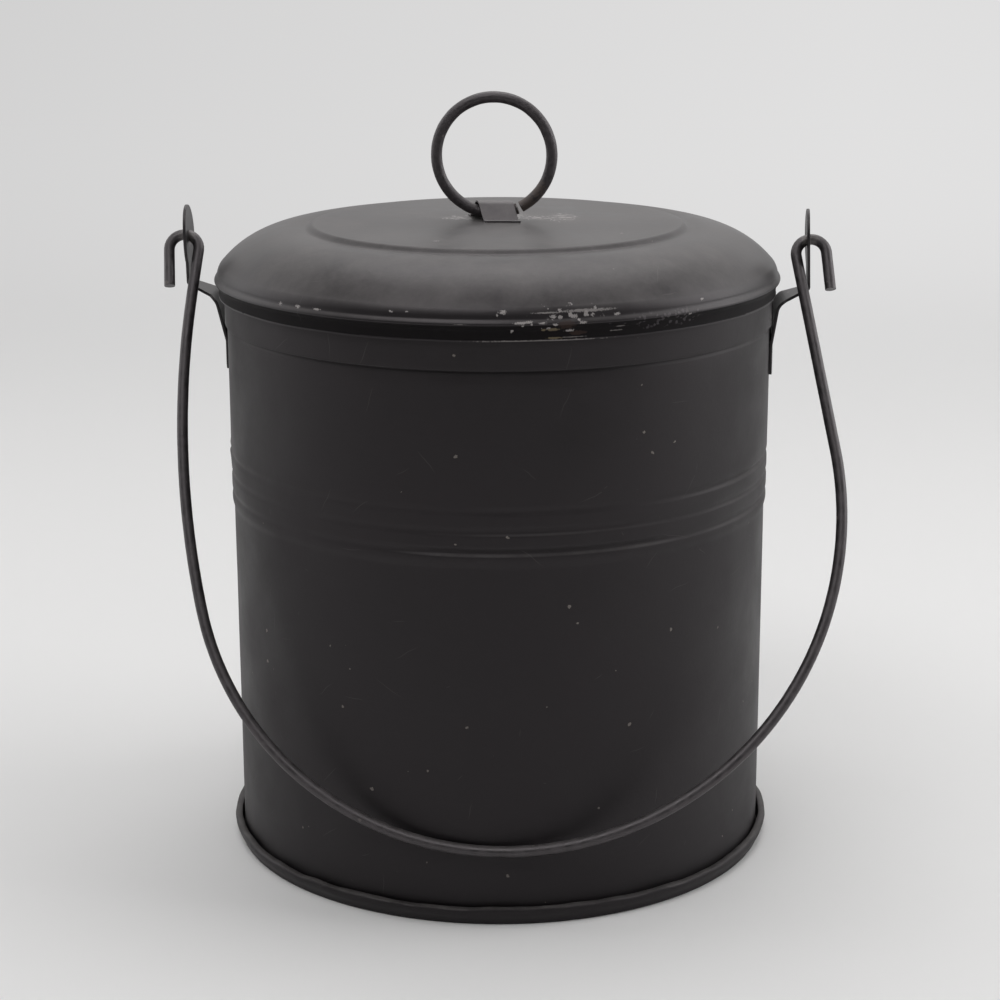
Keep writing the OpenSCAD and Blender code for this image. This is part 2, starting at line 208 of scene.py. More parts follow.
# Fine scratches, nearly straight, each its own way about the lean. Around is 1 on an upright drum,
# where they are laid out round it, and 0 on what faces up
scratches, takes, gives = new_group(
    "Fine scratches", "ShaderNodeTree",
    {"Around": (FLOAT, 0.0), "Radius": (FLOAT, 75.0), "Spacing": (FLOAT, 14.0),
     "Length": (FLOAT, 5.0), "Width": (FLOAT, 0.12), "Lean": (FLOAT, 0.0), "Spread": (FLOAT, 1.5),
     "Share": (FLOAT, 0.5), "Seed": (FLOAT, 0.0)},
    {"Mask": (FLOAT, None)})
spot = spot_in_mm(scratches)
bend = add(scratches, "ShaderNodeTexNoise", {"Vector": spot, "Scale": 0.12}).outputs[1]
spot = vector_sums(scratches, "MULTIPLY_ADD", bend, (2.4, 2.4, 2.4), spot)
axes = add(scratches, "ShaderNodeSeparateXYZ", {"Vector": spot}).outputs
angle = sums(scratches, "ARCTAN2", axes[0], sums(scratches, "MULTIPLY", axes[1], -1.0))
girth = sums(scratches, "SUBTRACT", sums(scratches, "MULTIPLY", angle, takes["Radius"]), axes[0])
rise = sums(scratches, "SUBTRACT", axes[2], axes[1])
flat = add(scratches, "ShaderNodeCombineXYZ",
           {0: sums(scratches, "MULTIPLY_ADD", girth, takes["Around"], axes[0]),
            1: sums(scratches, "MULTIPLY_ADD", rise, takes["Around"], axes[1])}).outputs[0]
flat = vector_sums(scratches, "ADD", flat, takes["Seed"])
cells = add(scratches, "ShaderNodeTexVoronoi",
            {"Vector": flat, "Scale": sums(scratches, "DIVIDE", 1.0, takes["Spacing"])},
            voronoi_dimensions="2D")
lot = add(scratches, "ShaderNodeSeparateColor", {"Color": cells.outputs["Color"]}).outputs
turn = sums(scratches, "MULTIPLY_ADD", sums(scratches, "SUBTRACT", lot[0], 0.5), takes["Spread"],
            takes["Lean"])
cosine, sine = sums(scratches, "COSINE", turn), sums(scratches, "SINE", turn)
apart = add(scratches, "ShaderNodeSeparateXYZ",
            {"Vector": vector_sums(scratches, "SUBTRACT", flat, cells.outputs["Position"])}).outputs
along = sums(scratches, "MULTIPLY_ADD", apart[0], cosine,
             sums(scratches, "MULTIPLY", apart[1], sine))
across = sums(scratches, "SUBTRACT", sums(scratches, "MULTIPLY", apart[1], cosine),
              sums(scratches, "MULTIPLY", apart[0], sine))
along = sums(scratches, "DIVIDE", along, sums(scratches, "MULTIPLY", lot[1], takes["Length"]))
across = sums(scratches, "DIVIDE", sums(scratches, "ABSOLUTE", across), takes["Width"])
body = sums(scratches, "SUBTRACT", sums(scratches, "SUBTRACT", 1.0, across),
            sums(scratches, "MULTIPLY", along, along))
body = add(scratches, "ShaderNodeMapRange",
           {"Value": body, "From Min": 0.0, "From Max": 0.7}).outputs[0]
chosen = sums(scratches, "LESS_THAN", lot[2], takes["Share"])
scratches.links.new(sums(scratches, "MULTIPLY", body, chosen), gives["Mask"])

# Dust that has settled on what faces up
dust, takes, gives = new_group(
    "Settled dust", "ShaderNodeTree",
    {"Amount": (FLOAT, 0.5), "Patch": (FLOAT, 12.0)}, {"Mask": (FLOAT, None)})
facing = dust.nodes.new("ShaderNodeNewGeometry").outputs["Normal"]
facing = add(dust, "ShaderNodeSeparateXYZ", {"Vector": facing}).outputs["Z"]
facing = add(dust, "ShaderNodeMapRange",
             {"Value": facing, "From Min": 0.3, "From Max": 1.0}).outputs[0]
spot = spot_in_mm(dust)
drift = add(dust, "ShaderNodeTexNoise",
            {"Vector": spot, "Scale": sums(dust, "DIVIDE", 1.0, takes["Patch"]), "Detail": 8.0,
             "Roughness": 0.7}).outputs[0]
drift = add(dust, "ShaderNodeMapRange",
            {"Value": drift, "From Min": 0.22, "From Max": 0.72}).outputs[0]
film = sums(dust, "MULTIPLY", facing, drift)
dust.links.new(sums(dust, "MULTIPLY", film, takes["Amount"]), gives["Mask"])


def group_node(tree, group, **values):
    node = add(tree, "ShaderNodeGroup", node_tree=group)
    for name, value in values.items():
        node.inputs[name.replace("_", " ")].default_value = value
    return node


def black_coat(name, dark, light, gloss, matt, stroke, cloud=28.0):
    """Brushed black paint as a dict of the sockets that later layers are laid over."""
    material = bpy.data.materials.new(name)
    material.use_nodes = True
    tree = material.node_tree
    tree.nodes.clear()
    coat = group_node(tree, brushed_coat, Stroke=stroke, Cloud=cloud)
    tone = add(tree, "ShaderNodeMapRange",
               {"Value": coat.outputs["Tone"], "From Min": 0.3, "From Max": 0.7}).outputs[0]
    colour = add(tree, "ShaderNodeMix", {"Factor": tone, "A": (*dark, 1), "B": (*light, 1)},
                 data_type="RGBA")
    rough = add(tree, "ShaderNodeMapRange", {"Value": tone, "To Min": gloss, "To Max": matt})
    return {"material": material, "tree": tree, "colour": colour.outputs["Result"],
            "rough": rough.outputs[0], "metal": None, "height": coat.outputs["Height"]}


def blend_in(tree, mask, under, over, kind):
    node = add(tree, "ShaderNodeMix", data_type=kind)
    sockets = [s for s in node.inputs if s.enabled]
    for socket, value in zip(sockets, (mask, under, over)):
        if isinstance(value, bpy.types.NodeSocket):
            tree.links.new(value, socket)
        else:
            socket.default_value = value
    return next(s for s in node.outputs if s.enabled)


def lay_over(coat, mask, colour, rough=None, metal=None, depth=0.0):
    """A layer over the coat where mask is 1. depth cuts it into the paint's skin."""
    tree = coat["tree"]
    coat["colour"] = blend_in(tree, mask, coat["colour"], (*colour, 1), "RGBA")
    if rough is not None:
        coat["rough"] = blend_in(tree, mask, coat["rough"], rough, "FLOAT")
    if metal is not None:
        coat["metal"] = blend_in(tree, mask, coat["metal"] or 0.0, metal, "FLOAT")
    if depth:
        coat["height"] = sums(tree, "MULTIPLY_ADD", mask, -depth, coat["height"])


def close_coat(coat, bump, specular=0.5):
    tree = coat["tree"]
    skin = add(tree, "ShaderNodeBump",
               {"Height": coat["height"], "Strength": 1.0, "Distance": bump * MM})
    shader = add(tree, "ShaderNodeBsdfPrincipled",
                 {"Base Color": coat["colour"], "Roughness": coat["rough"],
                  "Normal": skin.outputs[0], "Specular IOR Level": specular,
                  "Specular Tint": (1.0, 0.93, 0.965, 1)})
    if coat["metal"]:
        tree.links.new(coat["metal"], shader.inputs["Metallic"])
    add(tree, "ShaderNodeOutputMaterial", {"Surface": shader.outputs[0]})
    return coat["material"]


DUST = (0.19, 0.18, 0.175)


def flecked(coat, strength, colour, rough, **strewn):
    """Light specks over the coat, strewn as the group's own inputs say."""
    dots = group_node(coat["tree"], specks, **strewn)
    lay_over(coat, sums(coat["tree"], "MULTIPLY", dots.outputs[0], strength), colour, rough)


def dusted(coat, rough, **lying):
    film = group_node(coat["tree"], dust, **lying)
    lay_over(coat, film.outputs[0], DUST, rough)


coat = black_coat("wall_black", (0.0036, 0.003, 0.0033), (0.0104, 0.0088, 0.0097), 0.46, 0.64,
                  (0.09, 0.09, 0.9))
marks = group_node(coat["tree"], scratches, Around=1.0, Spacing=13.0, Length=6.0, Width=0.14,
                   Lean=0.35, Spread=2.6, Share=0.42)
lay_over(coat, sums(coat["tree"], "MULTIPLY", marks.outputs[0], 0.5), (0.05, 0.046, 0.046), 0.6)
flecked(coat, 0.8, (0.18, 0.16, 0.145), 0.7, Spacing=2.6, Size=0.56, Share=0.4, Seed=3.0)
dusted(coat, 0.75, Amount=0.4, Patch=9.0)
wall_black = close_coat(coat, 0.05, 0.41)

band_low, band_high = (Vector(corner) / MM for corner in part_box("rim_band"))
MOUTH_Z = band_high.z
BAND_LOW_Z = band_low.z
BAND_R = band_high.x
SHEET = 0.5
WALL_R = BAND_R - 0.6
FOOT_R = WALL_R - 0.5
STEP_Z = 97.0
STEP_RISE = 2.8
CREASE_Z = 148.5
CREASE_DEPTH = 0.35
GROOVES = (102.0, 107.4, 112.8)
GROOVE_DEPTH = 0.78
GROOVE_HALF = 1.7


def groove_cut(t):
    """The depth across a groove, from -1 at its lower edge to 1 at the upper, crisper one."""
    skew = t + 0.22 * (1 - t * t)
    return GROOVE_DEPTH * (0.5 + 0.5 * math.cos(math.pi * skew)) ** 1.25


def wall_face():
    """The wall's outer face from the foot to the mouth."""
    face = [(FOOT_R, SHEET), (FOOT_R, 6.0)] + [(FOOT_R, z) for z in range(12, 97, 6)]
    for i in range(9):
        t = i / 8
        face.append((FOOT_R + (WALL_R - FOOT_R) * (1 - math.cos(math.pi * t)) / 2,
                     STEP_Z + STEP_RISE * t))
    for middle in GROOVES:
        face += [(WALL_R - groove_cut(i / 8), middle + GROOVE_HALF * i / 8) for i in range(-8, 9)]
    face += [(WALL_R, z) for z in (116, 120, 126, 132, 138, 144, 147.4)]
    # A narrow crease under the mouth band
    face += [(WALL_R - 0.1, CREASE_Z - 0.6), (WALL_R - CREASE_DEPTH, CREASE_Z - 0.2),
             (WALL_R - CREASE_DEPTH, CREASE_Z + 0.2), (WALL_R - 0.1, CREASE_Z + 0.6)]
    return face + [(WALL_R, z) for z in (150, 155, MOUTH_Z)]


# The rollers bit unevenly, so each groove fades and comes back round the drum: the angle from the
# front in degrees, then what share of the depth is left in the lowest, middle and highest groove
BITE = ((-180, 0.7, 0.7, 0.7), (-110, 0.8, 0.7, 0.7), (-80, 0.45, 0.4, 0.5), (-45, 0.2, 0.12, 0.2),
        (-20, 0.35, 0.15, 0.1), (-6, 0.95, 0.45, 0.12), (12, 1.0, 0.7, 0.4), (32, 0.85, 0.45, 0.2),
        (45, 0.3, 0.2, 0.35), (62, 0.7, 0.55, 0.8), (95, 0.85, 0.8, 0.9), (180, 0.7, 0.7, 0.7))


def bite(angle, groove):
    low, high = next(pair for pair in zip(BITE, BITE[1:]) if angle <= pair[1][0])
    t = (angle - low[0]) / (high[0] - low[0])
    t = t * t * (3 - 2 * t)
    return low[groove + 1] * (1 - t) + high[groove + 1] * t


# A small knock bulges the wall by the left edge: how far it stands out, its place and its reach
KNOCK = 0.7
KNOCK_Y, KNOCK_Z = -6, 112
KNOCK_WIDE, KNOCK_TALL = 5, 3.2
face = wall_face()
section = [(r - SHEET, z) for r, z in face] + face[::-1]
wall = made_by(turned_sheet, "wall", section_mesh("wall_section", section, True), {
    "Sides": 360, "Wander": 0.22 * MM, "Wander Size": 0.045, "Steady Height": 0.0,
    "Free Height": 0.012, "Seed": 4.0, "Paint": wall_black})
for vertex in wall.data.vertices:
    x, y, z = vertex.co / MM
    groove = min(range(3), key=lambda k: abs(z - GROOVES[k]))
    if abs(z - GROOVES[groove]) < GROOVE_HALF:
        angle = math.degrees(math.atan2(x, -y))
        radius = math.hypot(x, y)
        cut = groove_cut((z - GROOVES[groove]) / GROOVE_HALF)
        vertex.co *= Vector((1 + cut * (1 - bite(angle, groove)) / radius,) * 2 + (1,))
    if x < 0:
        away = ((y - KNOCK_Y) / KNOCK_WIDE) ** 2 + ((z - KNOCK_Z) / KNOCK_TALL) ** 2
        vertex.co.x -= KNOCK * math.exp(-away) * MM
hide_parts("shell")
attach(wall, "pail")


def join_rows(shape, rows):
    """Faces between each row of corners and the next."""
    for low, high in zip(rows, rows[1:]):
        for k in range(len(low) - 1):
            shape.faces.new((low[k], low[k + 1], high[k + 1], high[k]))


def smooth_mesh(name, shape):
    mesh = bpy.data.meshes.new(name)
    shape.to_mesh(mesh)
    for polygon in mesh.polygons:
        polygon.use_smooth = True
    return mesh


# The lap: the outer edge of the rolled sheet, where it crosses the inner one
LAP_ANGLE = math.radians(135)
LAP_HALF = 3.0
LAP_LOW_Z = 5.9
LAP_TALL = 91.0
LAP_R = FOOT_R + SHEET / 2
lap = bmesh.new()
rows = []
for z in [LAP_LOW_Z + LAP_TALL * i / 40 for i in range(41)]:
    ragged = 0.12 * math.sin(z * 0.31) + 0.08 * math.sin(z * 0.83 + 1)
    half_angle = (LAP_HALF + ragged * 0.5) / FOOT_R
    angles = [LAP_ANGLE + half_angle * (2 * k / 6 - 1) for k in range(7)]
    rows.append([lap.verts.new((LAP_R * MM * math.cos(angle), LAP_R * MM * math.sin(angle), z * MM))
                 for angle in angles])
join_rows(lap, rows)
lap_mesh = smooth_mesh("wall_lap", lap)
wall_lap = linked("wall_lap", lap_mesh)
thick = wall_lap.modifiers.new("thickness", "SOLIDIFY")
thick.thickness = SHEET * MM
thick.offset = 0
soft = wall_lap.modifiers.new("solder", "BEVEL")
soft.width = 0.2 * MM
soft.segments = 3
lap_mesh.materials.append(wall_black)
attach(wall_lap, "pail")


# ---- Mouth band ----
# A plain hoop of thicker sheet soldered round the outside of the mouth. It stiffens the mouth,
# and the lid slips over it. Its lower edge is cut clean, with a little paint run along it.

BAND_INNER = WALL_R + 0.02
EDGE_R = 0.22
section = [(BAND_INNER, BAND_LOW_Z + 0.06), (BAND_R - 0.3, BAND_LOW_Z)]
for a in range(0, 91, 15):
    section.append((BAND_R - EDGE_R * (1 - math.sin(math.radians(a))),
                    BAND_LOW_Z + EDGE_R * (1 - math.cos(math.radians(a)))))
section += [(BAND_R, BAND_LOW_Z + h) for h in (1.0, 4.0, 8.0, 12.0)]
section += [(BAND_R, MOUTH_Z - 0.2), (BAND_R - 0.15, MOUTH_Z), (BAND_INNER, MOUTH_Z)]
section += [(BAND_INNER, MOUTH_Z - h) for h in (4.0, 8.0, 12.0)]
rough_band = section_mesh("band_section", section[::-1], True)
mouth_band = made_by(turned_sheet, "mouth_band", rough_band, {
    "Sides": 360, "Wander": 0.05 * MM, "Lift": 0.12 * MM, "Wander Size": 0.03,
    "Steady Height": (MOUTH_Z - 4) * MM, "Free Height": (BAND_LOW_Z + 2) * MM, "Seed": 9.0,
    "Paint": wall_black})
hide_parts("rim_band")
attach(mouth_band, "pail")


# ---- Bottom ----
# A flat disc whose edge is turned up by hand round the foot of the wall, and soldered there.
# Its lip is hemmed to a thick bead that wavers where the setting hammer has been.

_, foot_high = (Vector(corner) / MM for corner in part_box("bottom"))
LIP_R = foot_high.x
LIP_Z = foot_high.z
FLANGE_R = LIP_R - 1.6
CORNER = 0.7
INNER_R = FLANGE_R - SHEET
section = [(r, SHEET) for r in (0, 20, 40, 60, 70)]
section += [(INNER_R - 0.3, SHEET), (INNER_R, SHEET + 0.3)]
section += [(INNER_R, h) for h in (1.6, 2.4, 3.2, 4.0, LIP_Z - 0.6)]
section += [(INNER_R + 0.22, LIP_Z - 0.14), (INNER_R + 0.6, LIP_Z), (LIP_R - 0.7, LIP_Z - 0.02),
            (LIP_R - 0.3, LIP_Z - 0.16), (LIP_R - 0.07, LIP_Z - 0.5), (LIP_R, LIP_Z - 1.0),
            (LIP_R - 0.1, LIP_Z - 1.7), (LIP_R - 0.4, LIP_Z - 2.4), (LIP_R - 0.8, LIP_Z - 3.0)]
section += [(FLANGE_R + 0.3 - CORNER + CORNER * math.sin(math.radians(a)),
             CORNER - CORNER * math.cos(math.radians(a))) for a in range(90, -1, -15)]
section += [(r, 0.0) for r in (70, 60, 40, 20, 0)]
bottom_pan = made_by(turned_sheet, "bottom_pan", section_mesh("bottom_section", section, False), {
    "Sides": 360, "Wander": 0.4 * MM, "Lift": 0.9 * MM, "Wander Size": 0.011,
    "Steady Height": 1.2 * MM, "Free Height": LIP_Z * MM, "Seed": 21.0, "Paint": wall_black})
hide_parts("bottom")
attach(bottom_pan, "pail")


# ---- Ears ----
# Two straps of thicker sheet, soldered on the wall and band at the sides. Each bends out into a
# short arm and turns up into a leaf with a hole, and the bail's hook rubs the paint thin there.

EAR_T = 0.8
LEG_LOW_Z = BAND_LOW_Z - 14.2
BEND_R = 3.5 + EAR_T / 2
ARM_RISE = math.radians(23)
FOLD_R = 1.0
FOLD_Z = 158.4
LEAF_MID_Z = 170.6
LEAF_HALF_W = 6.1
LEAF_HALF_H = 8.8
NECK_HALF = 3.7
LEG_HALF = 8.5
LEG_CORNER = 1.2
HOLE_Z = 171.3
HOLE_R = 2.5
LEAF_GRID = 1.1
# The leg lies flat on the wall this far up, and the strap narrows from the leg's width to the
# neck's over a stretch of the arm
FLAT_LONG = 8.0
NARROW_FROM = 2.5
NARROW_LONG = 4.0
# How far each leaf stands from the band, how far it leans in, and how far its leg leans out
LEFT_EAR = (10.8, math.radians(-1), math.radians(13.5))
RIGHT_EAR = (9.6, math.radians(2), math.radians(9))


def arc(middle, radius, start, end, count):
    return [(middle[0] + radius * math.cos(start + (end - start) * i / count),
             middle[1] + radius * math.sin(start + (end - start) * i / count))
            for i in range(count + 1)]


def ear_line(reach, lean, leg_lean):
    """The strap's middle line, radius and height, from the leg's foot to the leaf's."""
    foot = Vector((WALL_R + EAR_T / 2, LEG_LOW_Z + FLAT_LONG))
    leg = Vector((math.sin(leg_lean), math.cos(leg_lean)))
    arm = Vector((math.cos(ARM_RISE), math.sin(ARM_RISE)))
    fold_mid = Vector((BAND_R + reach - FOLD_R, FOLD_Z))
    to_arm = fold_mid + FOLD_R * Vector((arm.y, -arm.x)) - foot
    along = (to_arm.x * arm.y - to_arm.y * arm.x) / (leg.x * arm.y - leg.y * arm.x)
    cut = BEND_R * math.tan((math.pi / 2 - leg_lean - ARM_RISE) / 2)
    bend_mid = foot + leg * (along - cut) + BEND_R * Vector((leg.y, -leg.x))
    line = [(foot.x, LEG_LOW_Z + FLAT_LONG * i / 5) for i in range(5)]
    line += [tuple(foot + leg * (along - cut) * i / 8) for i in range(8)]
    line += arc(bend_mid, BEND_R, math.pi - leg_lean, math.pi / 2 + ARM_RISE, 9)
    return line + arc(fold_mid, FOLD_R, ARM_RISE - math.pi / 2, lean, 8)


def half_width(x, z):
    """Half the strap's width where its middle line is at x, z. The leg's low corners are round."""
    shoulder = min(max((x - BAND_R - NARROW_FROM) / NARROW_LONG, 0), 1)
    shoulder = shoulder * shoulder * (3 - 2 * shoulder)
    strap = LEG_HALF + (NECK_HALF - LEG_HALF) * shoulder
    low_corner = max(0, LEG_CORNER - (z - LEG_LOW_Z)) if x < BAND_R + 1 else 0
    return strap - (LEG_CORNER - math.sqrt(max(0, LEG_CORNER ** 2 - low_corner ** 2)))


def ear_mesh(name, reach, lean, leg_lean, side):
    line = ear_line(reach, lean, leg_lean)
    foot = line[-1]
    ear = bmesh.new()

    def on_sheet(x, y, z):
        return ear.verts.new((side * math.sqrt(x * x - y * y) * MM, side * y * MM, z * MM))

    rows = [[on_sheet(x, half_width(x, z) * (k / 5 - 1), z) for k in range(11)] for x, z in line]
    join_rows(ear, rows)
    # The leaf, flat from the fold up, with its outline, its hole and points between
    neck = [(NECK_HALF * (k / 5 - 1), foot[1]) for k in range(11)]
    join = math.acos(NECK_HALF / LEAF_HALF_W)
    leaf = [(LEAF_HALF_W * math.cos(a), LEAF_MID_Z + LEAF_HALF_H * math.sin(a))
            for a in (-join + (math.pi + 2 * join) * i / 56 for i in range(57))]
    outline = neck + leaf
    hole = [(HOLE_R * math.cos(math.tau * i / 32), HOLE_Z + HOLE_R * math.sin(math.tau * i / 32))
            for i in range(32)]
    fill = [(y * LEAF_GRID, foot[1] + 1.0 + LEAF_GRID * k) for k in range(15) for y in range(-5, 6)]
    fill = [p for p in fill
            if math.dist(p, (0, HOLE_Z)) > HOLE_R + 0.6
            and ((p[0] / (LEAF_HALF_W - 0.7)) ** 2
                 + ((p[1] - LEAF_MID_Z) / (LEAF_HALF_H - 0.7)) ** 2 < 1
                 or (abs(p[0]) < NECK_HALF - 0.6 and p[1] < LEAF_MID_Z - 3))]
    edges = [(i, (i + 1) % len(outline)) for i in range(len(outline))]
    edges += [(len(outline) + i, len(outline) + (i + 1) % 32) for i in range(32)]
    points, _, faces, _, _, _ = geometry.delaunay_2d_cdt(
        [Vector(p) for p in outline + hole + fill], edges, [], 4, 1e-5)
    flat = [on_sheet(foot[0] - (z - foot[1]) * math.tan(lean), y, z) for y, z in points]
    for corners in faces:
        ear.faces.new([flat[i] for i in corners])
    bmesh.ops.remove_doubles(ear, verts=ear.verts, dist=0.02 * MM)
    bmesh.ops.recalc_face_normals(ear, faces=ear.faces)
    return smooth_mesh(name, ear)


def finish_sheet(name, mesh, thickness, edge, material, body, slot, *nodes):
    """A bent sheet given its thickness and softened cut edges, on its body."""
    mesh.materials.append(material)
    piece = linked(name, mesh)
    sheet = piece.modifiers.new("thickness", "SOLIDIFY")
    sheet.thickness = thickness * MM
    sheet.offset = 0
    sheet.use_even_offset = True
    edges = piece.modifiers.new("edges", "BEVEL")
    edges.width = edge * MM
    edges.segments = 2
    edges.limit_method = "ANGLE"
    edges.angle_limit = math.radians(50)
    edges.harden_normals = True
    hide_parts(*nodes)
    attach(piece, body)


def near(tree, places, ragged=0.0, fineness=1.6):
    """A mask, 1 round each place, given as its middle and its reach each way in mm. Noise makes
    its edge ragged, and a higher fineness breaks it up smaller."""
    spot = spot_in_mm(tree)
    apart = 9.0
    for middle, reach in places:
        apart = sums(tree, "MINIMUM", apart, vector_sums(tree, "LENGTH", vector_sums(
            tree, "DIVIDE", vector_sums(tree, "SUBTRACT", spot, middle), reach)))
    noise = add(tree, "ShaderNodeTexNoise",
                {"Vector": spot, "Scale": fineness, "Detail": 3.0}).outputs[0]
    apart = sums(tree, "MULTIPLY_ADD", sums(tree, "SUBTRACT", noise, 0.5), ragged, apart)
    return add(tree, "ShaderNodeMapRange",
               {"Value": apart, "From Min": 0.75, "From Max": 1.0,
                "To Min": 1.0, "To Max": 0.0}).outputs[0]


coat = black_coat("ear_black", (0.007, 0.0066, 0.007), (0.014, 0.013, 0.0135), 0.34, 0.48,
                  (0.5, 0.5, 0.25))
HOLE_X = (-86.7, 85.5)
rub = near(coat["tree"], [((x, 0, HOLE_Z - 2.2), (3, 2.6, 1.6)) for x in HOLE_X], 1.6)
lay_over(coat, sums(coat["tree"], "MULTIPLY", rub, 0.5), (0.16, 0.15, 0.14), 0.38, 0.6)
flecked(coat, 0.7, (0.22, 0.21, 0.2), 0.6, Spacing=3.5, Size=0.7, Share=0.4, Seed=5.0)
dusted(coat, 0.7, Amount=0.3, Patch=5.0)
ear_black = close_coat(coat, 0.03)
for name, ear, side in (("left_ear", LEFT_EAR, -1), ("right_ear", RIGHT_EAR, 1)):
    finish_sheet(name + "_strap", ear_mesh(name + "_strap", *ear, side), EAR_T, 0.14,
                 ear_black, "pail", "ear_paint", name)


# ---- Bail ----
# One length of iron wire bent to a deep hoop. Its ends pass out through the ears' holes and are
# hooked down. It was painted black in place, and the paint is thin and brushy on it.

bent_wire, takes, gives = new_group(
    "Bent wire", "GeometryNodeTree",
    {"Line": (GEOMETRY, None), "Thickness": (FLOAT, 0.003), "Step": (FLOAT, 0.001),
     "Dents": (FLOAT, 0.0), "Seed": (FLOAT, 0.0), "Paint": (MATERIAL, None)},
    {"Piece": (GEOMETRY, None)})
line = add(bent_wire, "GeometryNodeMeshToCurve", {"Mesh": takes["Line"]})
line = add(bent_wire, "GeometryNodeResampleCurve",
           {"Curve": line.outputs[0], "Length": takes["Step"]}, mode="LENGTH")
line = add(bent_wire, "GeometryNodeSetCurveNormal", {"Curve": line.outputs[0]},
           mode="MINIMUM_TWIST")
ring = add(bent_wire, "GeometryNodeCurvePrimitiveCircle",
           {"Resolution": 20, "Radius": sums(bent_wire, "MULTIPLY", takes["Thickness"], 0.5)},
           mode="RADIUS")
tube = add(bent_wire, "GeometryNodeCurveToMesh",
           {"Curve": line.outputs[0], "Profile Curve": ring.outputs["Curve"], "Fill Caps": True})
normal = bent_wire.nodes.new("GeometryNodeInputNormal").outputs[0]
place = bent_wire.nodes.new("GeometryNodeInputPosition").outputs[0]
noise = add(bent_wire, "ShaderNodeTexNoise",
            {"Vector": place, "W": takes["Seed"], "Scale": 260.0, "Detail": 2.0},
            noise_dimensions="4D").outputs[0]
dent = sums(bent_wire, "SUBTRACT", noise, 0.75)
dent = sums(bent_wire, "MULTIPLY", dent, takes["Dents"])
push = add(bent_wire, "ShaderNodeVectorMath", {0: normal}, operation="SCALE")
bent_wire.links.new(dent, push.inputs["Scale"])
moved = add(bent_wire, "GeometryNodeSetPosition",
            {"Geometry": tube.outputs[0], "Offset": push.outputs[0]})
smooth = add(bent_wire, "GeometryNodeSetShadeSmooth", {"Geometry": moved.outputs[0]})
real = add(bent_wire, "GeometryNodeRealizeInstances", {"Geometry": smooth.outputs[0]})
painted = add(bent_wire, "GeometryNodeSetMaterial",
              {"Geometry": real.outputs[0], "Material": takes["Paint"]})
bent_wire.links.new(painted.outputs[0], gives["Piece"])


def line_mesh(name, points):
    rough = bpy.data.meshes.new(name)
    rough.from_pydata([Vector(p) * MM for p in points],
                      [(i, i + 1) for i in range(len(points) - 1)], [])
    return rough


PIVOT_Z = 171.0
BELLY_Z = 21.0
LOW_X = 4.0
BAIL_WIRE = 3.05
BAIL_REACH = FOOT_R + BAIL_WIRE / 2 + 0.2
BAIL_LEAN = math.atan2(BAIL_REACH, PIVOT_Z - BELLY_Z)
BAIL_DROP = math.hypot(BAIL_REACH, PIVOT_Z - BELLY_Z)
BELLY_TURN = math.radians(75)
HOOK_R = 4.15
HOOK_OUT = 0.85
HOOK_END = 10.6


def leaf_x(ear):
    """How far out the wire crosses an ear's leaf."""
    reach, lean, _ = ear
    foot = (BAND_R + reach - FOLD_R + FOLD_R * math.cos(lean), FOLD_Z + FOLD_R * math.sin(lean))
    return foot[0] - (HOLE_Z - foot[1]) * math.tan(lean)


def bail_half(low_x, seat, tilt, splay):
    """One half of the bail seen flat, from the belly's lowest point to the hook's cut end. tilt is
    the leg's lean below the hook, and splay the lean of the hook's own end."""
    belly_r = seat + low_x
    start = (seat - HOOK_R * math.cos(tilt), -HOOK_R - HOOK_R * math.sin(tilt))
    end = (low_x + belly_r * math.sin(BELLY_TURN),
           -BAIL_DROP + belly_r * (1 - math.cos(BELLY_TURN)))
    kx = math.cos(tilt) - math.sin(BELLY_TURN)
    kz = math.cos(BELLY_TURN) + math.sin(tilt)
    det = kx * math.cos(tilt) + kz * math.sin(tilt)
    gap = (start[0] - end[0], start[1] - end[1])
    bow_r = (gap[0] * math.cos(tilt) + gap[1] * math.sin(tilt)) / det
    bow_mid = (end[0] - bow_r * math.sin(BELLY_TURN), end[1] + bow_r * math.cos(BELLY_TURN))
    points = arc((low_x, belly_r - BAIL_DROP), belly_r, -math.pi / 2, BELLY_TURN - math.pi / 2, 48)
    points += arc(bow_mid, bow_r, BELLY_TURN - math.pi / 2, tilt, 40)[1:]
    points += arc((seat, -HOOK_R), HOOK_R, math.pi + tilt, splay, 28)
    away = splay - math.pi / 2
    points.append((points[-1][0] + HOOK_END * math.cos(away),
                   points[-1][1] + HOOK_END * math.sin(away)))
    return points


left = bail_half(-LOW_X, leaf_x(LEFT_EAR) + HOOK_OUT,
                 tilt=math.radians(5), splay=math.radians(-4))
right = bail_half(LOW_X, leaf_x(RIGHT_EAR) + HOOK_OUT,
                  tilt=math.radians(11), splay=math.radians(6))
flat = [(-x, z) for x, z in reversed(left)] + right[1:]
points = [(x, z * math.sin(BAIL_LEAN), PIVOT_Z + z * math.cos(BAIL_LEAN)) for x, z in flat]

coat = black_coat("wire_black", (0.007, 0.0062, 0.0067), (0.042, 0.037, 0.039), 0.34, 0.58,
                  (0.5, 0.5, 0.5), 2.4)
flecked(coat, 0.5, (0.15, 0.135, 0.12), 0.65, Spacing=2.4, Size=0.7, Share=0.4, Seed=8.0)
# The wire is rubbed where it bears in the holes
RUB_X = (-86.9, 85.4)
rub = near(coat["tree"], [((x, -0.5, PIVOT_Z), (2.6, 4, 2.6)) for x in RUB_X], 1.4)
lay_over(coat, sums(coat["tree"], "MULTIPLY", rub, 0.45), (0.2, 0.19, 0.18), 0.35, 0.7)
dusted(coat, 0.7, Amount=0.25, Patch=4.0)
wire_black = close_coat(coat, 0.12, 0.8)

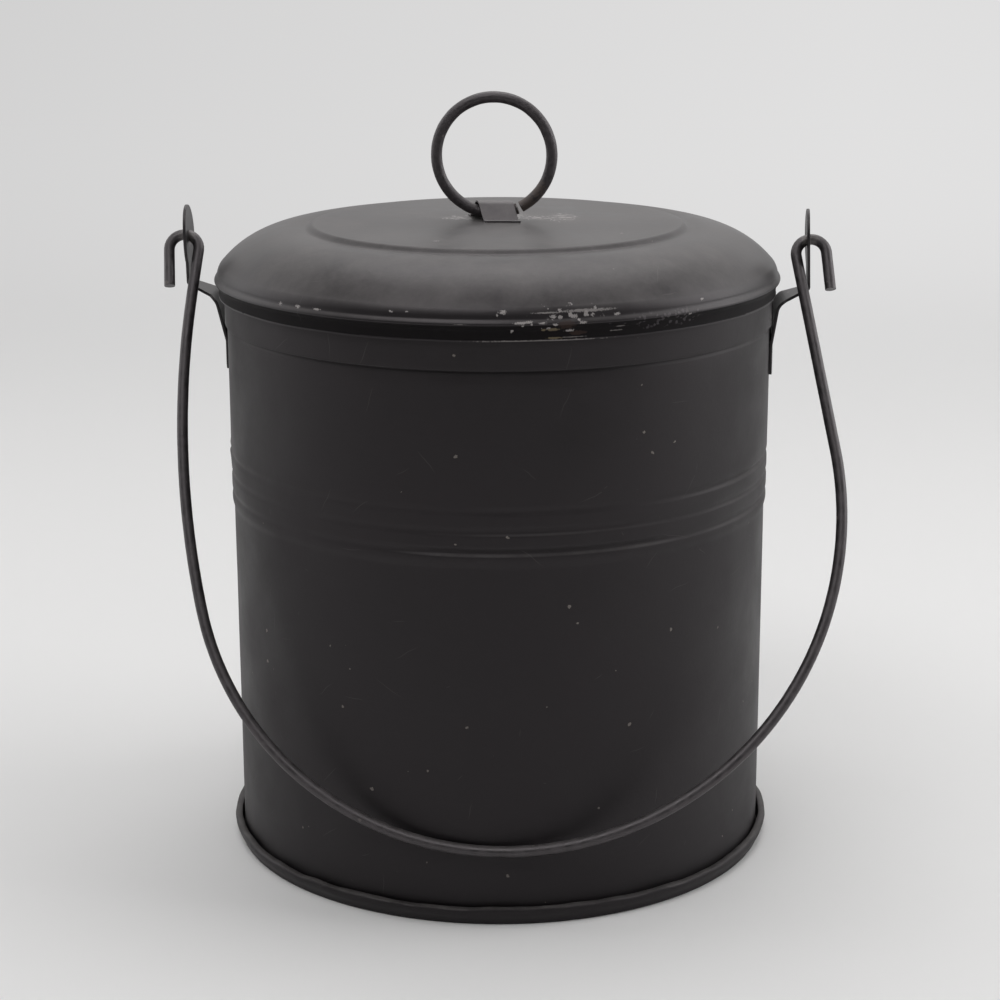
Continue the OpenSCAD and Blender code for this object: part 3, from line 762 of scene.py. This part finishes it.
bail_hoop = made_by(bent_wire, "bail_hoop", line_mesh("bail_line", points), {
    "Thickness": BAIL_WIRE * MM, "Step": 0.9 * MM, "Dents": 0.1 * MM, "Seed": 2.0,
    "Paint": wire_black})
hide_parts("bail")
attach(bail_hoop, "bail")


# ---- Lid ----
# A pressed cover of the same tinplate: a flat panel with a low crown, a small step down to a
# sloping ring, a round shoulder, and a skirt that slips over the band, with a hem that wavers. The
# paint is dusty on top and chipped along the front of the edge.

lid_low, lid_high = (Vector(corner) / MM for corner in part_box("lid"))
LID_X = (lid_low.x + lid_high.x) / 2
LID_R = (lid_high.x - lid_low.x) / 2
LID_TOP = lid_high.z
LIP_LOW = lid_low.z
WIDEST_Z = LID_TOP - 15.1
PANEL_FLAT = 50.6
PANEL_Z = WIDEST_Z + 14.6
STEP = 1.35
STEP_WIDE = 2.4
SLOPE = math.radians(49)
# The lid's edge from the dome's end down: a tight ridge, a shallow valley, the bead at the widest
# line, the turn under it, and the hem that ends in a lip. Radius and height from the widest line
EDGE = ((-2.2, 4.4), (-1.76, 3.94), (-1.44, 3.45), (-1.19, 2.95), (-0.99, 2.45), (-0.84, 1.96),
        (-0.77, 1.5), (-0.62, 1.08), (-0.34, 0.7), (-0.12, 0.34), (0.0, -0.04), (-0.08, -0.42),
        (-0.36, -0.8), (-0.74, -1.16), (-1.04, -1.55), (-1.18, -2.0), (-1.22, -2.6), (-1.24, -3.2),
        (-1.25, -3.8), (-1.18, -4.2), (-1.2, -4.5))


def lid_face():
    """The lid's upper face from its middle to the lip."""
    face = [(PANEL_FLAT * i / 14, LID_TOP - 0.5 * (i / 14) ** 2) for i in range(15)]
    for i in range(1, 13):
        t = i / 12
        face.append((PANEL_FLAT + STEP_WIDE * t, PANEL_Z - STEP * (1 - math.cos(math.pi * t)) / 2))
    start = Vector(face[-1])
    run = Vector((LID_R + EDGE[0][0], WIDEST_Z + EDGE[0][1])) - start
    chord_slope = math.atan2(-run.y, run.x)
    dome_r = run.length / 2 / math.sin(SLOPE - chord_slope)
    dome_mid = start + run - dome_r * Vector((math.sin(SLOPE), math.cos(SLOPE)))
    face += arc(dome_mid, dome_r, math.pi / 2 + SLOPE - 2 * chord_slope,
                math.pi / 2 - SLOPE, 26)[1:-1]
    knots = [Vector((LID_R + r, WIDEST_Z + z)) for r, z in EDGE]
    knots = [2 * knots[0] - knots[1]] + knots + [2 * knots[-1] - knots[-2]]
    for before, low, high, after in zip(knots, knots[1:], knots[2:], knots[3:]):
        face += [tuple(p) for p in geometry.interpolate_bezier(
            low, low + (high - before) / 6, high - (after - low) / 6, high, 4)[:-1]]
    return face + [tuple(knots[-2])]


def thickened(face, thickness):
    """The inner face that lies under a face, from its end back to its start."""
    inner = []
    for i, (r, z) in enumerate(face):
        before = face[max(i - 1, 0)]
        after = face[min(i + 1, len(face) - 1)]
        run = Vector((after[0] - before[0], after[1] - before[1])).normalized()
        inner.append((max(r + thickness * run.y, 0) if i else 0.0, z - thickness * run.x))
    return inner[::-1]


face = lid_face()
section = face + thickened(face, SHEET)

# The worn places along the front of the edge, on the dome and beside the clip, and a patch of
# painted highlights over pitted paint, each with its middle and its reach each way
CHIPPED = (
    ((6.3, -75.9, 163.8), (1.02, 2, 0.53)), ((5.0, -76.0, 163.1), (0.36, 2, 0.33)),
    ((18.6, -74.3, 162.6), (0.78, 2, 0.5)), ((23.9, -72.8, 162.4), (0.72, 2, 0.53)),
    ((25.0, -72.6, 161.6), (0.38, 2, 0.38)), ((25.9, -72.9, 160.9), (1.14, 2, 0.35)),
    ((34.2, -68.6, 162.4), (0.72, 2, 0.45)), ((10.8, -76.6, 161.2), (1.56, 2, 0.33)),
    ((12.8, -76.3, 161.4), (0.96, 2, 0.31)), ((16.2, -75.7, 161.1), (0.96, 2, 0.31)),
    ((19.3, -75.0, 160.7), (0.72, 2, 0.38)), ((28.8, -70.1, 164.2), (0.41, 2, 0.38)),
    ((22.6, -72.9, 158.9), (1.08, 2, 0.33)), ((8.6, -76.0, 159.2), (0.36, 2, 0.33)),
    ((-51.8, -57.2, 162.1), (0.5, 2, 0.45)), ((-46.7, -61.3, 162.1), (0.72, 2, 0.45)),
    ((-41.3, -65.0, 162.1), (1.14, 2, 0.3)), ((-21.6, -73.4, 163.3), (0.54, 2, 0.28)),
    ((-17.5, -74.4, 163.5), (0.36, 2, 0.25)), ((55.4, -52.0, 163.5), (0.43, 2, 0.38)),
    ((52.4, -56.7, 160.5), (0.43, 2, 0.25)), ((-11.4, -62.1, 172.3), (0.72, 0.72, 0.8)),
    ((-9.2, -62.6, 172.1), (0.48, 0.48, 0.8)), ((32.9, -58.3, 170.8), (0.54, 0.72, 0.8)),
    ((-13.6, -38.9, 175.6), (0.84, 0.6, 0.8)))
RIDGE = (((26.8, -71.4, 163.7), (7.0, 9, 0.36)), ((17.2, -74.8, 163.5), (3.6, 4, 0.2)))
SCORED = (((23.3, -72.8, 157.2), (3.4, 3, 0.14)), ((35.3, -67.8, 159.2), (1.4, 3, 0.15)),
          ((33.8, -68.5, 158.2), (1.8, 3, 0.15)), ((-4.0, -76.3, 160.9), (2.2, 3, 0.13)),
          ((16.0, -76.0, 156.45), (17, 14, 0.3)))
TAN = (((18.6, -74.2, 159.3), (1.8, 3, 0.42)), ((18.9, -74.2, 157.1), (2.1, 3, 0.26)),
       ((16.3, -74.9, 159.2), (0.6, 3, 0.3)))
BROWN = (((24.5, -72.2, 158.2), (2.6, 3, 0.6)), ((21.8, -73.9, 160.5), (2.4, 3, 1.2)))
SCUFFED = (((-11.4, 2.2, 175.7), (4.6, 4.2, 1.5)), ((4.6, 7.0, 175.7), (2.4, 9, 1.5)),
           ((10.0, 3.4, 175.7), (4.8, 4.6, 1.5)), ((17.0, 5.4, 175.7), (4.4, 7.5, 1.5)))
FLECKED = (((22.5, -72.6, 163.5), (9.5, 6, 1.9)), ((14.0, -75.0, 160.4), (5, 4, 1.4)))
# Pitted paint low on the front right of the skirt: the pits are real, and their grey specks are
# painted highlights for glints off them
PITTED_GLINTS = (((46.0, -61.0, 160.2), (17, 14, 2.4)),)
DULL_TIN = (0.29, 0.272, 0.266)


def lid_paint(name, dark, light, gloss, matt, specular):
    coat = black_coat(name, dark, light, gloss, matt, (0.1, 0.5, 0.5))
    tree = coat["tree"]
    marks = group_node(tree, scratches, Spacing=16.0, Length=7.0, Width=0.13, Spread=5.0, Share=0.5)
    lay_over(coat, sums(tree, "MULTIPLY", marks.outputs[0], 0.4), (0.09, 0.083, 0.083), 0.6)
    dusted(coat, 0.62, Amount=0.54, Patch=14.0)
    flecked(coat, 0.75, (0.28, 0.26, 0.25), 0.6, Spacing=5.0, Size=0.5, Share=0.45, Seed=1.0)
    smears = group_node(tree, scratches, Spacing=1.9, Length=2.6, Width=0.42, Spread=1.4,
                        Share=0.9, Seed=7.0)
    scuff = sums(tree, "MULTIPLY", near(tree, SCUFFED, 2.8),
                 sums(tree, "MULTIPLY_ADD", smears.outputs[0], 0.75, 0.1))
    lay_over(coat, scuff, (0.5, 0.47, 0.46), 0.6)
    lay_over(coat, sums(tree, "MULTIPLY", near(tree, BROWN, 1.3), 0.8), (0.03, 0.019, 0.015), 0.6)
    lay_over(coat, sums(tree, "MULTIPLY", near(tree, TAN, 1.5), 0.7), (0.17, 0.14, 0.09), 0.6)
    lay_over(coat, sums(tree, "MULTIPLY", near(tree, SCORED, 1.7), 0.45), (0.3, 0.28, 0.27), 0.5)
    lay_over(coat, sums(tree, "MULTIPLY", near(tree, RIDGE, 2.6, 3.4), 0.7), DULL_TIN, 0.42, 0.3)
    # Painted highlights: grey specks for glints off the pitted paint under the bead
    pit_glints = group_node(tree, specks, Spacing=0.9, Size=0.9, Share=0.75, Seed=17.0)
    pit_glints = sums(tree, "MULTIPLY", near(tree, PITTED_GLINTS, 1.2, 0.4), pit_glints.outputs[0])
    lay_over(coat, sums(tree, "MULTIPLY", pit_glints, 0.55), (0.085, 0.077, 0.082), 0.45)
    flecks = group_node(tree, specks, Spacing=1.3, Size=0.95, Share=0.7, Seed=11.0)
    flecks = sums(tree, "MULTIPLY", near(tree, FLECKED, 2.0), flecks.outputs[0])
    lay_over(coat, flecks, DULL_TIN, 0.5, 0.2)
    lay_over(coat, near(tree, CHIPPED, 2.8, 3.0), DULL_TIN, 0.5, 0.2, 0.6)
    return close_coat(coat, 0.035, specular)


lid_black = lid_paint("lid_black", (0.0078, 0.0068, 0.0074), (0.0135, 0.012, 0.013),
                      0.34, 0.46, 0.42)
# Under the bead, down to the lip, a darker and less glossy copy of the coat: painted shade for the
# shadow in the crevice under the bead
UNDER_FROM = 0.35
UNDER_TO = WIDEST_Z - LIP_LOW - 0.45
painted_shade_under_bead = lid_paint("painted_shade_under_bead", (0.003, 0.0026, 0.0028), (0.005, 0.0044, 0.0047),
                        0.6, 0.75, 0.14)

lid_cover = made_by(turned_sheet, "lid_cover", section_mesh("lid_section", section, False), {
    "Sides": 400, "Wander": 0.25 * MM, "Lift": 0.3 * MM, "Wander Size": 0.022,
    "Steady Height": WIDEST_Z * MM, "Free Height": LIP_LOW * MM, "Seed": 12.0,
    "Paint": lid_black})
# The faces under the bead take the painted shade
lid_cover.data.materials.append(painted_shade_under_bead)
for polygon in lid_cover.data.polygons:
    depth = WIDEST_Z - polygon.center.z / MM
    outward = polygon.normal.dot(Vector((polygon.center.x, polygon.center.y, 0))) > 0
    if outward and UNDER_FROM < depth < UNDER_TO:
        polygon.material_index = 1
lid_cover.data.transform(Matrix.Translation((LID_X * MM, 0, 0)))
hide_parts("lid")
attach(lid_cover, "lid")


# ---- Ring clip ----
# A short strap of sheet pressed down over the ring's wire and soldered to the lid, a little out
# of square. Round its feet the paint is scuffed.

RING_X = -1.2
RING_PIVOT_Z = 178.295
RING_WIRE = 3.2
CLIP_INNER = 2.35
CLIP_HALF = 4.4
CLIP_TURN = math.radians(24)
CLIP_REACH = 6.6
CLIP_FOOT = 1.4

bend = (CLIP_FOOT - CLIP_REACH, -CLIP_INNER)
touch = math.acos(CLIP_INNER / math.hypot(*bend))
up = math.atan2(bend[1], bend[0]) + math.tau - touch
over = arc((0, 0), CLIP_INNER, up, math.pi - up, 20)
strap = [(-CLIP_REACH, -CLIP_INNER), (-CLIP_REACH + 0.7, -CLIP_INNER)]
strap += [(bend[0] + (over[0][0] - bend[0]) * i / 5, bend[1] + (over[0][1] - bend[1]) * i / 5)
          for i in range(5)]
strap += over
strap += [(-y, z) for y, z in reversed(strap[:7])]
clip = bmesh.new()
rows = []
for i, (y, z) in enumerate(strap):
    before, after = strap[max(i - 1, 0)], strap[min(i + 1, len(strap) - 1)]
    run = Vector((after[0] - before[0], after[1] - before[1])).normalized()
    y_mid, z_mid = y - run.y * SHEET / 2, z + run.x * SHEET / 2
    rows.append([clip.verts.new((
        (RING_X + (CLIP_HALF * (k / 4 - 1) - y * math.sin(CLIP_TURN)) / math.cos(CLIP_TURN)) * MM,
        y_mid * MM, (RING_PIVOT_Z + z_mid) * MM)) for k in range(9)])
join_rows(clip, rows)
bmesh.ops.recalc_face_normals(clip, faces=clip.faces)
clip_mesh = smooth_mesh("ring_strap", clip)
coat = black_coat("clip_black", (0.03, 0.027, 0.029), (0.055, 0.05, 0.053), 0.32, 0.46,
                  (0.4, 1.6, 1.6), 5.0)
flecked(coat, 0.6, (0.25, 0.23, 0.22), 0.55, Spacing=2.4, Size=0.7, Share=0.4, Seed=6.0)
dusted(coat, 0.62, Amount=0.75, Patch=4.0)
clip_black = close_coat(coat, 0.04, 0.8)
finish_sheet("ring_strap", clip_mesh, SHEET, 0.1, clip_black, "lid", "lid_paint", "ring_clip")


# ---- Lifting ring ----
# A ring of iron wire, cut and closed by hand, that hangs in the clip and stands or lies either way.
# By its cut the paint has gone and the wire is brown.

RING_R = 15.85
RING_MID_Z = 193.495
# The cut stands this far round from the ring's right, and its ends are this far apart
CUT = math.radians(24 - 90)
GAP = 1.0 / RING_R
circle = arc((RING_X, RING_MID_Z), RING_R, CUT + GAP, CUT + math.tau, 120)
points = [(x, 0.0, z) for x, z in circle]
coat = black_coat("ring_black", (0.006, 0.0054, 0.0058), (0.044, 0.0385, 0.041), 0.3, 0.6,
                  (2.4, 2.4, 2.4), 1.3)
flecked(coat, 0.55, (0.16, 0.145, 0.135), 0.65, Spacing=1.8, Size=0.7, Share=0.45, Seed=14.0)
dusted(coat, 0.7, Amount=0.25, Patch=4.0)
bare = near(coat["tree"],
            [((7.2, 0, 180.4), (3.6, 3.5, 3.4)), ((10.8, 0, 184.4), (2.2, 3, 3))], 2.6)
lay_over(coat, sums(coat["tree"], "MULTIPLY", bare, 0.75), (0.085, 0.066, 0.055), 0.62, 0.15, 0.4)
ring_black = close_coat(coat, 0.15, 0.8)
lift_loop = made_by(bent_wire, "lift_loop", line_mesh("ring_line", points), {
    "Thickness": RING_WIRE * MM, "Step": 0.7 * MM, "Dents": 0.18 * MM, "Seed": 5.0,
    "Paint": ring_black})
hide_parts("lift_ring")
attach(lift_loop, "ring")


# ---- Table, light and camera ----
# A plain pale sweep of board under and behind the pail, lit softly from above, from both sides and
# by a wide strip over the front.

sweep = bmesh.new()
BOARD_END = 0.9
SWEEP_R = 0.6
line = [(-2.5, 0.0), (BOARD_END, 0.0)]
line += arc((BOARD_END, SWEEP_R), SWEEP_R, math.radians(9 - 90), 0.0, 9)
line += [(BOARD_END + SWEEP_R, 2.6)]
rows = [[sweep.verts.new((x, y, z)) for x in (-3.0, 3.0)] for y, z in line]
join_rows(sweep, rows)
sweep_mesh = smooth_mesh("table", sweep)
board = bpy.data.materials.new("pale_board")
board.use_nodes = True
tree = board.node_tree
tree.nodes.clear()
spot = tree.nodes.new("ShaderNodeTexCoord").outputs["Object"]
spot = add(tree, "ShaderNodeSeparateXYZ", {"Vector": spot})
far = add(tree, "ShaderNodeMapRange",
          {"Value": spot.outputs["Y"], "From Min": 0.25, "From Max": 1.2},
          interpolation_type="SMOOTHSTEP").outputs[0]
high = add(tree, "ShaderNodeMapRange",
           {"Value": spot.outputs["Z"], "From Min": 0.0, "From Max": 0.25,
            "To Min": 0.76, "To Max": 0.73}).outputs[0]
# Above what the camera sees the sweep glows brighter, and the lid's flat top mirrors that
top = add(tree, "ShaderNodeMapRange",
          {"Value": spot.outputs["Z"], "From Min": 0.25, "From Max": 0.6,
           "To Min": 0.0, "To Max": 0.27}).outputs[0]
high = sums(tree, "ADD", high, top)
wide = add(tree, "ShaderNodeMapRange",
           {"Value": spot.outputs["X"], "From Min": -0.5, "From Max": 0.2,
            "To Min": 0.87, "To Max": 1.0}).outputs[0]
ray = tree.nodes.new("ShaderNodeLightPath").outputs
seen = sums(tree, "MAXIMUM", ray["Is Camera Ray"],
            sums(tree, "MAXIMUM", ray["Is Glossy Ray"], ray["Is Transmission Ray"]))
matt = add(tree, "ShaderNodeBsdfPrincipled",
           {"Base Color": (0.775, 0.771, 0.769, 1), "Roughness": 0.9})
shine = add(tree, "ShaderNodeEmission",
            {"Color": (1.0, 0.995, 0.995, 1), "Strength": sums(tree, "MULTIPLY", high, wide)})
both = add(tree, "ShaderNodeMixShader",
           {0: sums(tree, "MULTIPLY", far, seen), 1: matt.outputs[0], 2: shine.outputs[0]})
add(tree, "ShaderNodeOutputMaterial", {"Surface": both.outputs[0]})
sweep_mesh.materials.append(board)
table = linked("table", sweep_mesh)

scene = bpy.context.scene
world = bpy.data.worlds.new("room")
scene.world = world
world.use_nodes = True
room = world.node_tree
room.nodes.clear()
sky = room.nodes.new("ShaderNodeTexCoord").outputs["Generated"]
sky = add(room, "ShaderNodeSeparateXYZ", {"Vector": sky})
back = add(room, "ShaderNodeMapRange",
           {"Value": sky.outputs["Y"], "From Min": -0.6, "From Max": 0.2,
            "To Min": 0.14, "To Max": 0.6})
glow = add(room, "ShaderNodeBackground",
           {"Color": (1.0, 0.995, 0.99, 1), "Strength": back.outputs[0]})
add(room, "ShaderNodeOutputWorld", {"Surface": glow.outputs[0]})

# Each lamp's place, its width and height, and its power
LAMPS = {"right_window": ((0.95, 0.1, 0.55), 0.8, 0.8, 4.6),
         "left_window": ((-1.0, 0.2, 0.5), 0.8, 0.8, 1.75),
         "ceiling": ((0.0, 0.45, 1.3), 1.0, 0.9, 6.0),
         "front_strip": ((-0.3, -0.75, 1.28), 1.1, 0.55, 6.2)}
LIT_SPOT = Vector((0, 0, 0.1))
for name, (place, wide, tall, power) in LAMPS.items():
    lamp = bpy.data.lights.new(name, "AREA")
    lamp.shape = "RECTANGLE"
    lamp.size = wide
    lamp.size_y = tall
    lamp.energy = power
    light = bpy.data.objects.new(name, lamp)
    light.location = place
    light.rotation_euler = (LIT_SPOT - Vector(place)).to_track_quat("-Z", "Y").to_euler()
    scene.collection.objects.link(light)

# The camera stands off the front, a little to the right, and looks down with a slight roll
TURN = math.radians(4)
EYE = Vector((0.18, -640.67, 265.84)) * MM
TILT = math.radians(90 - 14.869)
ROLL = math.radians(-0.148)
eye = bpy.data.cameras.new("eye")
eye.sensor_width = 36
eye.lens = 83.77
camera = bpy.data.objects.new("camera", eye)
camera.matrix_world = (Matrix.Rotation(TURN, 4, "Z") @ Matrix.Translation(EYE)
                       @ Matrix.Rotation(TILT, 4, "X") @ Matrix.Rotation(ROLL, 4, "Z"))
scene.collection.objects.link(camera)
scene.camera = camera
scene.view_settings.view_transform = "Standard"
